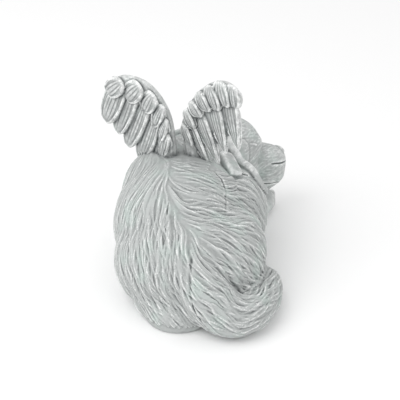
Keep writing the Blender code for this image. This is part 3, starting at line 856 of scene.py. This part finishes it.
plain_ground = mixed(ranged(patch, *GREEN_PATCHES), STONE_HEX, GREEN_HEX)
ground = mixed(calculated("MULTIPLY", measure("feathered"), 0.5), plain_ground, FEATHER_HEX)
wash = ranged(measure("relief"), *WASH_RELIEF)
feather_wash = calculated("MULTIPLY", measure("feathered"),
                          ranged(measure("relief"), *FEATHER_WASH_RELIEF))
washed = mixed(calculated("ADD", wash, feather_wash), ground, WASH_HEX)
# Painted shade: the deep hollows between the parts are darkened as if in shadow
painted_shade_colour = mixed(ranged(measure("hollow"), *PAINTED_SHADE_HOLLOW), washed, PAINTED_SHADE_HEX)
raised_crest = calculated("MULTIPLY", measure("crest"), ranged(measure("relief"), *CREST_RELIEF))
ridge = ranged(raised_crest, *RIDGE_CREST)
edges = ranged(measure("relief"), *EDGE_RELIEF)
bald_edges = calculated("MULTIPLY", measure("bald"), ranged(measure("relief"), *BALD_EDGE_RELIEF))
loaded = calculated("MAXIMUM", calculated("MAXIMUM", ridge, edges), bald_edges)
broken = calculated("ADD", ranged(streak, *STREAK_BREAKS), ranged(brushing, *BRUSHING_BREAKS))
brushed_share = calculated("MULTIPLY", loaded, calculated("ADD", broken, BRUSH_LOAD))
brushed = mixed(ranged(brushed_share, *BRUSH_COVER), painted_shade_colour, BRUSH_HEX)
mottle = calculated("MULTIPLY", measure("bald"), ranged(brushing, *BALD_MOTTLE))
fleck = calculated("ADD", ranged(grit, *GRIT_FLECKS), mottle)
flecked = add_node("ShaderNodeVectorMath", {"operation": "SCALE"},
                   {"Vector": brushed, "Scale": fleck})
tree.links.new(flecked.outputs[0], shader.inputs["Base Color"])
grain_height = calculated("ADD", calculated("MULTIPLY", grit, 0.25),
                          calculated("MULTIPLY", streak, 0.9))
bump = add_node("ShaderNodeBump", {"Strength": 0.5, "Distance": GRAIN_HEIGHT_MM * MM},
                {"Height": grain_height})
tree.links.new(bump.outputs[0], shader.inputs["Normal"])
light_mesh.materials.clear()
light_mesh.materials.append(stone)

# The floor
# A plain sweep of matt white paper under the figure, a hair below the ground that it stands on.
FLOOR_SIZE = 6.0
FLOOR_DROP = 0.5 * MM
PAPER_HEX = "FBFBFB"
floor_mesh = bpy.data.meshes.new("floor")
floor_form = bmesh.new()
bmesh.ops.create_grid(floor_form, x_segments=1, y_segments=1, size=FLOOR_SIZE)
floor_form.to_mesh(floor_mesh)
floor_form.free()
floor = bpy.data.objects.new("floor", floor_mesh)
floor.location.z = -FLOOR_DROP
bpy.context.collection.objects.link(floor)
paper = bpy.data.materials.new("white_paper")
paper.use_nodes = True
paper.node_tree.nodes["Principled BSDF"].inputs["Base Color"].default_value = linear(PAPER_HEX)
paper.node_tree.nodes["Principled BSDF"].inputs["Roughness"].default_value = 0.9
floor_mesh.materials.append(paper)
floor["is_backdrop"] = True

# The room and the camera
# A white room lights the figure from all sides. The camera stands above and behind it, a little to
# its right, as a long lens sees it.
ROOM_STRENGTH = 0.88
world = bpy.data.worlds.new("white_room")
world.use_nodes = True
world.node_tree.nodes["Background"].inputs["Color"].default_value = (1.0, 1.0, 1.0, 1.0)
world.node_tree.nodes["Background"].inputs["Strength"].default_value = ROOM_STRENGTH
bpy.context.scene.world = world
bpy.context.scene.view_settings.view_transform = "Standard"

CAMERA_TURN = 188.0
CAMERA_RISE = 30.0
CAMERA_DISTANCE = 1.100
CAMERA_AIM = Vector((-3.5 * MM, -11.3 * MM, 55 * MM))
LENS_PIXELS = 1222.0
FRAME_PIXELS = 400.0
turn, rise = math.radians(CAMERA_TURN), math.radians(CAMERA_RISE)
back = Vector((math.sin(turn) * math.cos(rise), -math.cos(turn) * math.cos(rise), math.sin(rise)))
right = Vector((math.cos(turn), math.sin(turn), 0))
up = back.cross(right)
camera_data = bpy.data.cameras.new("camera")
camera_data.sensor_width = 36.0
camera_data.lens = LENS_PIXELS / FRAME_PIXELS * camera_data.sensor_width
camera_data.clip_start = 0.01
camera = bpy.data.objects.new("camera", camera_data)
camera.matrix_world = Matrix.Translation(CAMERA_AIM + back * CAMERA_DISTANCE) @ Matrix(
    (right, up, back)).transposed().to_4x4()
bpy.context.collection.objects.link(camera)
bpy.context.scene.camera = camera

# The soft box
# One broad square lamp over the camera's left shoulder, aimed at the figure.
LAMP_SIZE = 1.0
LAMP_WATTS = 6.5
LAMP_BACK = 0.55
LAMP_LEFT = 0.65
LAMP_ABOVE = 0.75
lamp_data = bpy.data.lights.new("soft_box", "AREA")
lamp_data.shape = "SQUARE"
lamp_data.size = LAMP_SIZE
lamp_data.energy = LAMP_WATTS
lamp = bpy.data.objects.new("soft_box", lamp_data)
lamp_place = CAMERA_AIM + back * LAMP_BACK - right * LAMP_LEFT + Vector((0, 0, LAMP_ABOVE))
lamp.matrix_world = Matrix.Translation(lamp_place) @ (lamp_place - CAMERA_AIM).to_track_quat(
    "Z", "Y").to_matrix().to_4x4()
bpy.context.collection.objects.link(lamp)

low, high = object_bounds()
{"cad": [list(corner) for corner in cad_box], "visual": [list(low), list(high)]}
